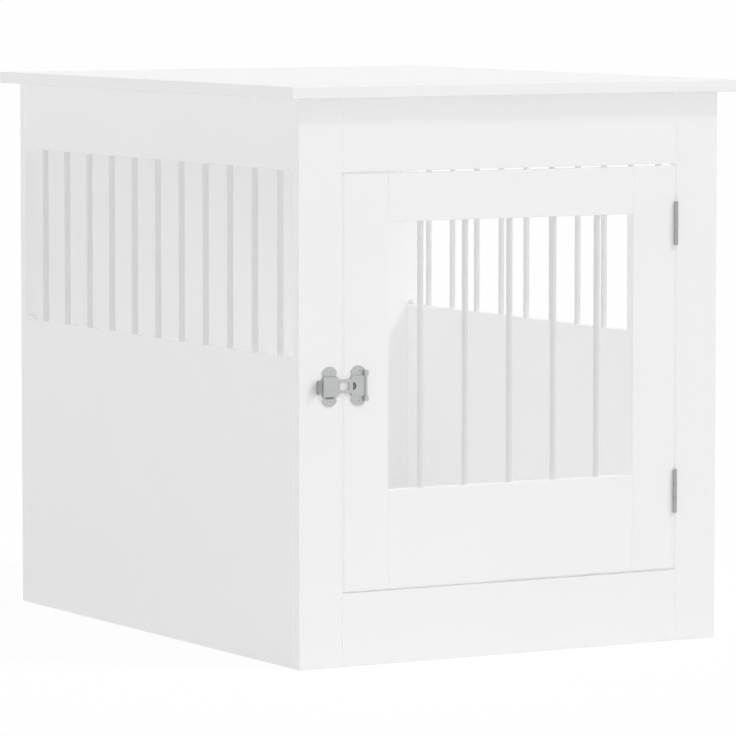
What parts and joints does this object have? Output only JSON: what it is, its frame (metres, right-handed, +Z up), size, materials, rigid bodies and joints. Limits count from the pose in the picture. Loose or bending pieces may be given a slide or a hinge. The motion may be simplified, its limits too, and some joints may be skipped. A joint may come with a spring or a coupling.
{
  "type": "dog crate end table",
  "caption": "Board cabinet used as a dog crate and end table: overhanging top, barred sides, solid back, barred front door on butt hinges and a flip hasp.",
  "frame": {"origin": "on the floor, under the middle of the table top", "axes": "+Z up, +Y from the front with the door to the back, +X to the right seen from the front"},
  "size_m": [0.645, 0.805, 0.71],
  "materials": {
    "white_board": "satin white laminate on engineered wood",
    "bar_coat": "light grey satin coat on steel rod",
    "dowel_wood": "bare beech",
    "cam_zinc": "bright zinc",
    "hinge_steel": "dull grey steel",
    "screw_steel": "zinc plated",
    "latch_steel": "satin nickel on pressed steel"
  },
  "bodies": {
    "cabinet": {"top_board": "white_board", "back_panel": "white_board", "front_left_stile": "white_board", "front_right_stile": "white_board", "front_top_rail": "white_board", "front_bottom_rail": "white_board", "left_side_lower_panel": "white_board", "left_side_upper_rail": "white_board", "right_side_lower_panel": "white_board", "right_side_upper_rail": "white_board", "floor_panel": "white_board", "left_side_bars": "bar_coat", "right_side_bars": "bar_coat", "cabinet_dowels": "dowel_wood", "cam_bolts": "cam_zinc", "cam_locks": "cam_zinc", "upper_hinge_frame_leaf": "hinge_steel", "lower_hinge_frame_leaf": "hinge_steel", "upper_hinge_pin": "hinge_steel", "lower_hinge_pin": "hinge_steel", "frame_hinge_screws": "screw_steel", "latch_cabinet_plate": "latch_steel", "latch_stud": "latch_steel", "latch_cabinet_screws": "screw_steel"},
    "door": {"door_left_stile": "white_board", "door_right_stile": "white_board", "door_top_rail": "white_board", "door_bottom_rail": "white_board", "door_bars": "bar_coat", "door_dowels": "dowel_wood", "upper_hinge_door_leaf": "hinge_steel", "lower_hinge_door_leaf": "hinge_steel", "door_hinge_screws": "screw_steel", "latch_door_plate": "latch_steel", "latch_pin": "latch_steel", "latch_door_screws": "screw_steel"},
    "flap": {"latch_flap": "latch_steel"}
  },
  "joints": [
    {"name": "door_swing", "type": "hinge", "parent": "cabinet", "child": "door", "pos_m": [0.2398, -0.3852, 0.3605], "axis": [0, 0, 1], "range_deg": [0, 170]},
    {"name": "flap_flip", "type": "hinge", "parent": "door", "child": "flap", "pos_m": [-0.21085, -0.386, 0.3445], "axis": [0, 0, 1], "range_deg": [0, 165]}
  ]
}
